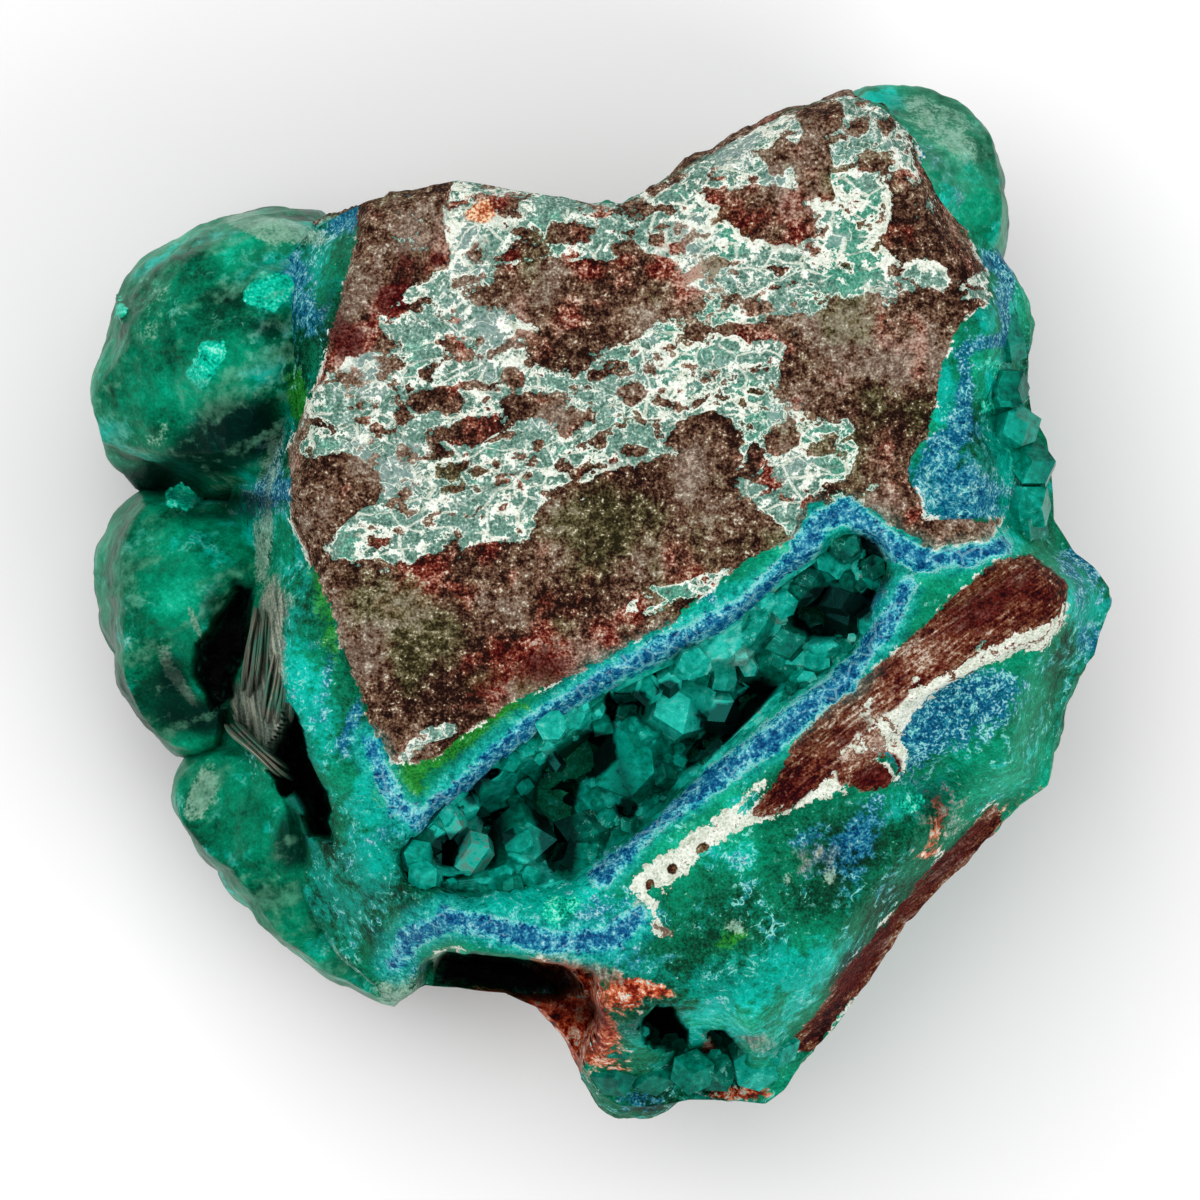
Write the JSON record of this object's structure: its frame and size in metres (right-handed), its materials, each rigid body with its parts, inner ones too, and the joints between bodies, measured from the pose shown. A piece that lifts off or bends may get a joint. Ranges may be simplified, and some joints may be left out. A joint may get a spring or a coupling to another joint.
{
  "type": "dioptase on matrix",
  "caption": "Hand-sized lump of brown rock with blue-green copper mineral rinds, rounded green bodies and green dioptase crystals in a hollow, resting on its flat back.",
  "frame": {"origin": "middle of the bounding box on the plane the specimen rests on", "axes": "+Z out of the decorated face, away from the flat back it rests on; +Y towards the face's straight brown edge, the top of the picture; +X to the right when looking down on the face"},
  "size_m": [0.061, 0.0614, 0.0297],
  "materials": {
    "matrix_rock": "rough broken rock with blue-green rinds and white veins",
    "green_lobe": "dark green, waxy to glassy",
    "dioptase": "glassy emerald to teal crystal",
    "blade": "grey-green, silky"
  },
  "bodies": {
    "root": {"matrix": "matrix_rock", "lobe_upper_left": "green_lobe", "lobe_middle_left": "green_lobe", "lobe_lower_left": "green_lobe", "lobe_upper_right": "green_lobe", "vug_crust": "dioptase", "edge_crystals": "dioptase", "tip_crystals": "dioptase", "blade_upper": "blade", "blade_inner": "blade", "blade_lower": "blade"}
  },
  "joints": []
}
